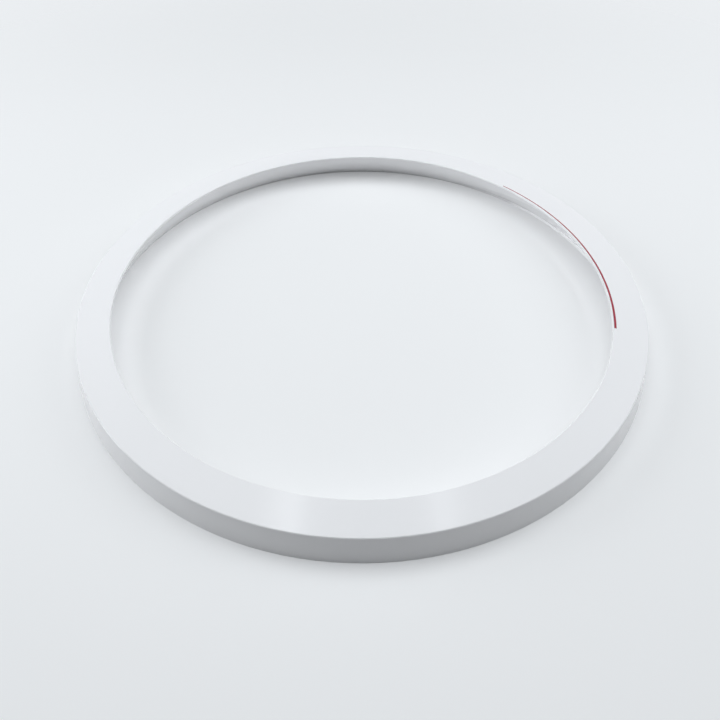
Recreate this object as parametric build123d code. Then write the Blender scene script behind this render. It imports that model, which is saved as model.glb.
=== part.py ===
"""Outer ring of a front-loading washing machine's door: one white moulding and its red accent strip.

The ring lies face up on its foot, with its axis on +Z and its grip on the +X side.
All sizes are in millimetres and degrees.
"""

import os
from math import cos, degrees, radians, sin, tan

from build123d import *

# Section of the ring, with its corners taken as sharp
outer_diameter = 477.4
foot_width = 14.7
face_width = 27.9
crest_height = 27.9
face_fall = 3.1
outer_draft = 8.0
wall = 2.5
crest_nose = 1.5
crest_break = 0.9
shoulder_chamfer = 0.5

# Grip, where the hand pulls the door open: a lip on the crest, and a finger pocket above a toe
grip_bearing = 22.0
lip_span = 94.0
lip_reach = 2.2
pocket_span = 84.0
pocket_depth = 2.7
pocket_top = 22.0
toe_rise = 1.6
toe_slope = 50.0

# Red accent strip along the lip, with its bearings taken about the lip's own centre
accent_bearing = 17.8
accent_span = 58.9
accent_inset = 2.3
accent_wide = 1.8
accent_narrow = 0.8
accent_depth = 0.8
accent_proud = 0.08
accent_clearance = 0.06

# Webs and screw bosses in the open back
boss_count = 8
ribs_per_boss = 2
rib_thickness = 1.6
rib_lift = 4.0
boss_bite = 0.4
pilot_diameter = 3.4
pilot_depth = 16.0

# Corners of the section, as radius and height
outer_radius = outer_diameter / 2
shoulder_height = crest_height - face_fall
shoulder_radius = outer_radius - shoulder_height * tan(radians(outer_draft))
crest_radius = shoulder_radius - face_width
nose_height = crest_height - crest_nose
grip_foot_radius = outer_radius - foot_width
grip_lean = (grip_foot_radius - crest_radius) / nose_height


def grip_arc(ring_radius, reach, span):
    """Shift towards the grip of the centre, and radius, of an arc that bows inwards from a ring."""
    middle = ring_radius - reach
    chord_distance = ring_radius * cos(radians(span / 2))
    shift = (middle**2 - ring_radius**2) / (2 * (middle - chord_distance))
    return shift, middle - shift


def wall_radius(height):
    """Radius of the leaning grip wall's inner side at a height."""
    return grip_foot_radius - height * grip_lean


# Arcs of the lip and the pocket in plan, each round a centre of its own
lip_shift, lip_radius = grip_arc(crest_radius, lip_reach, lip_span)
lip_middle_radius = crest_radius - lip_reach
pocket_shift, pocket_radius = grip_arc(wall_radius(toe_rise), -pocket_depth, pocket_span)

# Gap between the two walls at the foot, which each boss fills from side to side
gap_inner_radius = grip_foot_radius + wall * (1 + grip_lean**2) ** 0.5
gap_outer_radius = outer_radius - wall / cos(radians(outer_draft))
boss_radius = (gap_inner_radius + gap_outer_radius) / 2
boss_diameter = gap_outer_radius - gap_inner_radius + 2 * boss_bite

# Alignment of what stands on the foot plane
on_foot = (Align.CENTER, Align.CENTER, Align.MIN)


def polar(radius, bearing):
    """Point in plan at a distance and a bearing from the ring's axis."""
    return (radius * cos(radians(bearing)), radius * sin(radians(bearing)))


def face_height(radius):
    """Height of the sloping face at a radius, also where the lip carries it inwards."""
    return crest_height + (crest_radius - radius) * face_fall / face_width


def spin(section):
    """Solid made by turning a radius-and-height section once round the ring's axis."""
    return revolve(Plane.XZ * section, Axis.Z)


def section_outline():
    """Outer section of the moulding, with both walls carried on below the foot."""
    drop = 2 * wall
    return make_face(
        Polyline(
            (grip_foot_radius + drop * grip_lean, -drop),
            (crest_radius, nose_height),
            (crest_radius, crest_height),
            (shoulder_radius, shoulder_height),
            (outer_radius + drop * tan(radians(outer_draft)), -drop),
            close=True,
        )
    )


def corner(outline, radius, height):
    """Corner of an outline that is nearest to a radius and height."""
    return outline.vertices().sort_by_distance((radius, height))[0]


def inset_outline(depth):
    """The outer section drawn in all round by a depth, with sharp corners."""
    return offset(section_outline(), -depth, kind=Kind.INTERSECTION)


def above(height):
    """Part of the section plane above a height."""
    span = 2 * crest_height - height
    return Pos(outer_radius, height + span / 2) * Rectangle(outer_diameter, span)


def ledge():
    """Section of the face's run inwards from the crest, further than the lip needs."""
    rim_radius = crest_radius - 2 * lip_reach
    return make_face(
        Polyline(
            (crest_radius, nose_height),
            (crest_radius, crest_height),
            (rim_radius, face_height(rim_radius)),
            (rim_radius, face_height(rim_radius) - crest_nose),
            close=True,
        )
    )


def opening(radius):
    """Upright round hole through the crest, which flares in two steps to break its upper edge."""
    step = crest_break / 3
    section = Polyline(
        (0, 0),
        (radius, 0),
        (radius, crest_height - crest_break),
        (radius + step, crest_height - step),
        (radius + step + 2 * (step + lip_reach), crest_height + lip_reach),
        (0, crest_height + lip_reach),
        close=True,
    )
    return spin(make_face(section))


def shifted(shape, distance):
    """Shape that was drawn about the ring's axis, moved along the grip's bearing to its own centre."""
    return Pos(*polar(distance, grip_bearing)) * shape


def shell():
    """Face with its lip, outer wall and grip wall in one thickness, open at the back."""
    outline = chamfer(corner(section_outline(), shoulder_radius, shoulder_height), shoulder_chamfer)
    blank = spin((outline + ledge() - inset_outline(wall)) & above(0))
    return blank - (opening(crest_radius) & shifted(opening(lip_radius), lip_shift))


def rib():
    """Web across the channel, rooted half way into the walls and the face."""
    return extrude(Plane.XZ * (inset_outline(wall / 2) & above(rib_lift)), rib_thickness / 2, both=True)


def foot_cylinder(diameter, length):
    """Upright cylinder that stands on the foot plane at the first boss."""
    return Pos(boss_radius, 0, 0) * Cylinder(diameter / 2, length, align=on_foot)


def screw_boss():
    """Post from the foot to the face that ties the two walls together."""
    return foot_cylinder(boss_diameter, crest_height) & spin(inset_outline(wall / 2))


def pocket_form(growth):
    """Round body whose rim hollows the grip wall above a toe, grown outwards by an amount."""
    toe_run = toe_rise / tan(radians(toe_slope))
    end_height = (pocket_top + nose_height) / 2
    lean = (pocket_radius + pocket_shift - wall_radius(pocket_top)) / (pocket_top - toe_rise)
    section = Polyline(
        (0, 0),
        (pocket_radius - toe_run + growth, 0),
        (pocket_radius + growth, toe_rise),
        (pocket_radius + growth - lean * (end_height - toe_rise), end_height),
        (0, end_height),
        close=True,
    )
    return shifted(spin(make_face(section)), pocket_shift)


def pocket_backing():
    """Material behind the pocket, which keeps the wall's thickness there."""
    level_wall = gap_inner_radius - grip_foot_radius
    return pocket_form(level_wall) & spin(inset_outline(wall / 2) & above(0))


def accent_plan(margin):
    """Plan of the accent strip, a set distance from the lip's edge, grown all round by a margin."""
    radius = lip_radius + accent_inset
    half_span = accent_span / 2 + degrees(margin / radius)
    stations = (
        (accent_bearing + half_span, accent_narrow),
        (accent_bearing, (accent_narrow + accent_wide) / 2),
        (accent_bearing - half_span, accent_wide),
    )
    inner = [polar(radius - width / 2 - margin, bearing) for bearing, width in stations]
    outer = [polar(radius + width / 2 + margin, bearing) for bearing, width in stations]
    plan = make_face(
        [
            ThreePointArc(*inner),
            Line(inner[-1], outer[-1]),
            ThreePointArc(*reversed(outer)),
            Line(outer[0], inner[0]),
        ]
    )
    return shifted(plan, lip_shift)


def face_band(below, over):
    """Layer that follows the face and the lip, from a depth below them to a height over them."""
    section = Polyline(
        (lip_middle_radius, face_height(lip_middle_radius) - below),
        (shoulder_radius, shoulder_height - below),
        (shoulder_radius, shoulder_height + over),
        (lip_middle_radius, face_height(lip_middle_radius) + over),
        close=True,
    )
    return spin(make_face(section))


def accent_layer(margin, over):
    """Solid of the accent's plan, cut from a layer of the face."""
    return extrude(accent_plan(margin), 2 * crest_height) & face_band(accent_depth, over)


def door_ring():
    """The white moulding: shell, webs and bosses, with the finger pocket, accent's groove and screw holes."""
    web = rib()
    boss = screw_boss()
    pilot_hole = foot_cylinder(pilot_diameter, pilot_depth)
    ring = shell()
    ring += [place * web for place in PolarLocations(0, boss_count * ribs_per_boss)]
    ring += [place * boss for place in PolarLocations(0, boss_count)]
    ring += pocket_backing()
    ring -= pocket_form(0)
    ring -= [place * pilot_hole for place in PolarLocations(0, boss_count)]
    return ring - accent_layer(accent_clearance, wall)


def grip_accent():
    """The red strip that lies in the groove, a hair proud of the face."""
    return accent_layer(0, accent_proud)


os.makedirs("parts", exist_ok=True)
export_step(door_ring(), "parts/door_ring.step")
export_step(grip_accent(), "parts/grip_accent.step")
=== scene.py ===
"""Looks of a front-loading washing machine's door ring: glossy white moulding and a deep red accent.

The ring lies face up on a pale floor under soft studio light, seen from the front and above.
All lengths are in metres.
"""

from math import pi, radians

import bpy
from mathutils import Matrix, Vector

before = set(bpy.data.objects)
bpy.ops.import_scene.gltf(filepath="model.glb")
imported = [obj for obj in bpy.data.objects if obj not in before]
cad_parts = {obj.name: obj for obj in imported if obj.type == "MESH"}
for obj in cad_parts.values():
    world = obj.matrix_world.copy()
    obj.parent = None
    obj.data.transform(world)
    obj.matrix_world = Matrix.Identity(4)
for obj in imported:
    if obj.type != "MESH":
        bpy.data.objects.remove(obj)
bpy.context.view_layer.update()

# Camera, fitted to the ring's ellipses in the photograph
image_pixels = 720
focal_pixels = 770
sensor_millimetres = 36.0
camera_place = Vector((0.0, -0.4904, 0.4578))
camera_down = radians(46.40)
camera_turn = radians(0.186)
camera_roll = radians(-0.182)

# Round floor, which fades out from an inner radius to its rim, and the backdrop beyond it
floor_radius = 0.95
floor_fade_radius = 0.42
floor_corners = 128
floor_colour = (0.92, 0.92, 0.92, 1.0)
floor_roughness = 0.9
backdrop_colour = (0.84, 0.865, 0.89, 1.0)

# Share of the backdrop's plain glow that the floor shows, which softens its shadows
floor_glow = 0.24

# Broad soft lamps, each with its place, its width and height, and its glow
lamp_colour = (0.936, 0.971, 1.0)
lamp_target = Vector((0.0, 0.0, 0.0))
soft_lamps = {
    "overhead": (Vector((-0.03, 0.15, 1.5)), (1.4, 1.3), 2.27),
    "left": (Vector((-1.525, 0.215, 0.72)), (1.1, 1.1), 3.98),
    "right": (Vector((1.30, 0.325, 1.045)), (1.2, 1.2), 2.82),
}

# The only broad lamp that the moulding mirrors, as a pale strip along the grip
mirrored_lamp = "left"

# Narrow lamps that the face mirrors as two streaks, each in strips that fade outwards
streak_height = 1.4
streak_length = 0.7
streak_middle = 0.29
streak_glows = (3.2, 1.8, 0.8)
streak_edges = {
    "streak_left": (-0.205, -0.255, -0.300, -0.340),
    "streak_right": (0.245, 0.280, 0.310, 0.340),
}

# Finishes, as the colour, the colour that it drifts to, and the roughness
white_colour = (0.926, 0.919, 0.926, 1.0)
white_drift = (0.912, 0.908, 0.918, 1.0)
white_roughness = 0.10
red_colour = (0.38, 0.026, 0.051, 1.0)
red_drift = (0.32, 0.020, 0.041, 1.0)
red_roughness = 0.18

# Slow drift of tone and gloss over a moulding, and the fine peel of its skin
drift_scale = 14.0
drift_detail = 3.0
gloss_drift = 0.06
peel_scale = 450.0
peel_detail = 2.0
peel_depth = 0.00001


def look_through_camera():
    """Camera at the photograph's place, with the photograph's field of view."""
    camera = bpy.data.cameras.new("camera")
    camera.sensor_width = sensor_millimetres
    camera.lens = sensor_millimetres * focal_pixels / image_pixels
    holder = bpy.data.objects.new("camera", camera)
    tilt = Matrix.Rotation(pi / 2 - camera_down, 4, "X")
    turn = Matrix.Rotation(camera_turn, 4, "Z")
    roll = Matrix.Rotation(camera_roll, 4, "Z")
    holder.matrix_world = Matrix.Translation(camera_place) @ turn @ tilt @ roll
    bpy.context.scene.collection.objects.link(holder)
    bpy.context.scene.camera = holder


def add_lamp(name, place, target, size, glow):
    """Rectangular lamp that faces a target, with its glow as radiance."""
    lamp = bpy.data.lights.new(name, "AREA")
    lamp.shape = "RECTANGLE"
    lamp.size, lamp.size_y = size
    lamp.energy = glow * pi * lamp.size * lamp.size_y
    lamp.color = lamp_colour
    holder = bpy.data.objects.new(name, lamp)
    holder.location = place
    holder.rotation_euler = (target - place).to_track_quat("-Z", "Y").to_euler()
    bpy.context.scene.collection.objects.link(holder)
    return holder


def light_studio():
    """Broad soft lamps for the shading, and narrow ones for the streaks."""
    for name, (place, size, glow) in soft_lamps.items():
        lamp = add_lamp(name, place, lamp_target, size, glow)
        lamp.visible_glossy = name == mirrored_lamp
    for name, edges in streak_edges.items():
        for near, far, glow in zip(edges, edges[1:], streak_glows):
            across = (near + far) / 2
            place = Vector((across, streak_middle, streak_height))
            below = Vector((across, streak_middle, 0.0))
            add_lamp(name, place, below, (abs(far - near), streak_length), glow)


def seen_or_mirrored(tree):
    """Socket that is 1 for rays from the camera and mirrored rays, and 0 for light on the object."""
    path = tree.nodes.new("ShaderNodeLightPath")
    seen = tree.nodes.new("ShaderNodeMath")
    seen.operation = "MAXIMUM"
    tree.links.new(path.outputs["Is Camera Ray"], seen.inputs[0])
    tree.links.new(path.outputs["Is Glossy Ray"], seen.inputs[1])
    return seen.outputs["Value"]


def surround_with_world():
    """No light all round, and a pale backdrop for the camera and for mirrored rays."""
    world = bpy.data.worlds.new("studio")
    bpy.context.scene.world = world
    world.use_nodes = True
    nodes = world.node_tree.nodes
    links = world.node_tree.links
    nodes.clear()
    backdrop = nodes.new("ShaderNodeBackground")
    backdrop.inputs["Color"].default_value = backdrop_colour
    output = nodes.new("ShaderNodeOutputWorld")
    links.new(seen_or_mirrored(world.node_tree), backdrop.inputs["Strength"])
    links.new(backdrop.outputs["Background"], output.inputs["Surface"])


def fade_at_rim(tree):
    """Socket that is 1 on the inner floor and falls smoothly to 0 at the rim."""
    place = tree.nodes.new("ShaderNodeTexCoord")
    distance = tree.nodes.new("ShaderNodeVectorMath")
    distance.operation = "LENGTH"
    fade = tree.nodes.new("ShaderNodeMapRange")
    fade.interpolation_type = "SMOOTHSTEP"
    fade.inputs["From Min"].default_value = floor_fade_radius
    fade.inputs["From Max"].default_value = floor_radius
    fade.inputs["To Min"].default_value = 1.0
    fade.inputs["To Max"].default_value = 0.0
    tree.links.new(place.outputs["Object"], distance.inputs["Vector"])
    tree.links.new(distance.outputs["Value"], fade.inputs["Value"])
    return fade.outputs["Result"]


def softened_by_glow(tree, surface):
    """Socket of a surface that shows a share of the backdrop's glow, but casts none on the object."""
    glow = tree.nodes.new("ShaderNodeEmission")
    glow.inputs["Color"].default_value = backdrop_colour
    share = tree.nodes.new("ShaderNodeMath")
    share.operation = "MULTIPLY"
    share.inputs[1].default_value = floor_glow
    softened = tree.nodes.new("ShaderNodeMixShader")
    tree.links.new(seen_or_mirrored(tree), share.inputs[0])
    tree.links.new(share.outputs["Value"], softened.inputs["Fac"])
    tree.links.new(surface, softened.inputs[1])
    tree.links.new(glow.outputs["Emission"], softened.inputs[2])
    return softened.outputs["Shader"]


def lay_floor():
    """Pale plain floor under the ring, which fades out at its rim and shows softened shadows."""
    bpy.ops.mesh.primitive_circle_add(vertices=floor_corners, radius=floor_radius, fill_type="NGON")
    floor = bpy.context.object
    floor.name = "floor"
    material = bpy.data.materials.new("floor")
    material.use_nodes = True
    tree = material.node_tree
    shader = tree.nodes["Principled BSDF"]
    shader.inputs["Base Color"].default_value = floor_colour
    shader.inputs["Roughness"].default_value = floor_roughness
    shader.inputs["Specular IOR Level"].default_value = 0.0
    tree.links.new(fade_at_rim(tree), shader.inputs["Alpha"])
    surface = softened_by_glow(tree, shader.outputs["BSDF"])
    tree.links.new(surface, tree.nodes["Material Output"].inputs["Surface"])
    floor.data.materials.append(material)


def moulded_finish_group():
    """Shared finish of moulded plastic: slow drifts of tone and gloss, and a fine peel."""
    group = bpy.data.node_groups.new("moulded_finish", "ShaderNodeTree")
    for name, kind in (
        ("Colour", "NodeSocketColor"),
        ("Drift Colour", "NodeSocketColor"),
        ("Roughness", "NodeSocketFloat"),
        ("Gloss Drift", "NodeSocketFloat"),
        ("Drift Scale", "NodeSocketFloat"),
        ("Peel Scale", "NodeSocketFloat"),
    ):
        group.interface.new_socket(name, in_out="INPUT", socket_type=kind)
    for name, kind in (
        ("Colour", "NodeSocketColor"),
        ("Roughness", "NodeSocketFloat"),
        ("Height", "NodeSocketFloat"),
    ):
        group.interface.new_socket(name, in_out="OUTPUT", socket_type=kind)
    nodes = group.nodes
    links = group.links
    given = nodes.new("NodeGroupInput")
    result = nodes.new("NodeGroupOutput")
    place = nodes.new("ShaderNodeTexCoord")

    drift = nodes.new("ShaderNodeTexNoise")
    drift.inputs["Detail"].default_value = drift_detail
    links.new(place.outputs["Object"], drift.inputs["Vector"])
    links.new(given.outputs["Drift Scale"], drift.inputs["Scale"])

    tone = nodes.new("ShaderNodeMix")
    tone.data_type = "RGBA"
    links.new(drift.outputs["Fac"], tone.inputs["Factor"])
    links.new(given.outputs["Colour"], tone.inputs["A"])
    links.new(given.outputs["Drift Colour"], tone.inputs["B"])
    links.new(tone.outputs["Result"], result.inputs["Colour"])

    gloss = nodes.new("ShaderNodeMath")
    gloss.operation = "MULTIPLY_ADD"
    links.new(drift.outputs["Fac"], gloss.inputs[0])
    links.new(given.outputs["Gloss Drift"], gloss.inputs[1])
    links.new(given.outputs["Roughness"], gloss.inputs[2])
    links.new(gloss.outputs["Value"], result.inputs["Roughness"])

    peel = nodes.new("ShaderNodeTexNoise")
    peel.inputs["Detail"].default_value = peel_detail
    links.new(place.outputs["Object"], peel.inputs["Vector"])
    links.new(given.outputs["Peel Scale"], peel.inputs["Scale"])
    links.new(peel.outputs["Fac"], result.inputs["Height"])
    return group


def plastic(name, finish_group, colour, drift_colour, roughness):
    """Glossy plastic that takes its tone, gloss and peel from the shared finish."""
    material = bpy.data.materials.new(name)
    material.use_nodes = True
    nodes = material.node_tree.nodes
    links = material.node_tree.links
    shader = nodes["Principled BSDF"]
    finish = nodes.new("ShaderNodeGroup")
    finish.node_tree = finish_group
    finish.inputs["Colour"].default_value = colour
    finish.inputs["Drift Colour"].default_value = drift_colour
    finish.inputs["Roughness"].default_value = roughness
    finish.inputs["Gloss Drift"].default_value = gloss_drift
    finish.inputs["Drift Scale"].default_value = drift_scale
    finish.inputs["Peel Scale"].default_value = peel_scale
    bump = nodes.new("ShaderNodeBump")
    bump.inputs["Distance"].default_value = peel_depth
    links.new(finish.outputs["Colour"], shader.inputs["Base Color"])
    links.new(finish.outputs["Roughness"], shader.inputs["Roughness"])
    links.new(finish.outputs["Height"], bump.inputs["Height"])
    links.new(bump.outputs["Normal"], shader.inputs["Normal"])
    return material


def dress(node, material):
    """Give a node of the frame its finish."""
    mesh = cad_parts[node].data
    mesh.materials.clear()
    mesh.materials.append(material)


look_through_camera()
light_studio()
surround_with_world()
lay_floor()
moulded_finish = moulded_finish_group()
dress("door_ring", plastic("white_moulding", moulded_finish, white_colour, white_drift, white_roughness))
dress("grip_accent", plastic("red_accent", moulded_finish, red_colour, red_drift, red_roughness))

bpy.context.scene.view_settings.view_transform = "Standard"
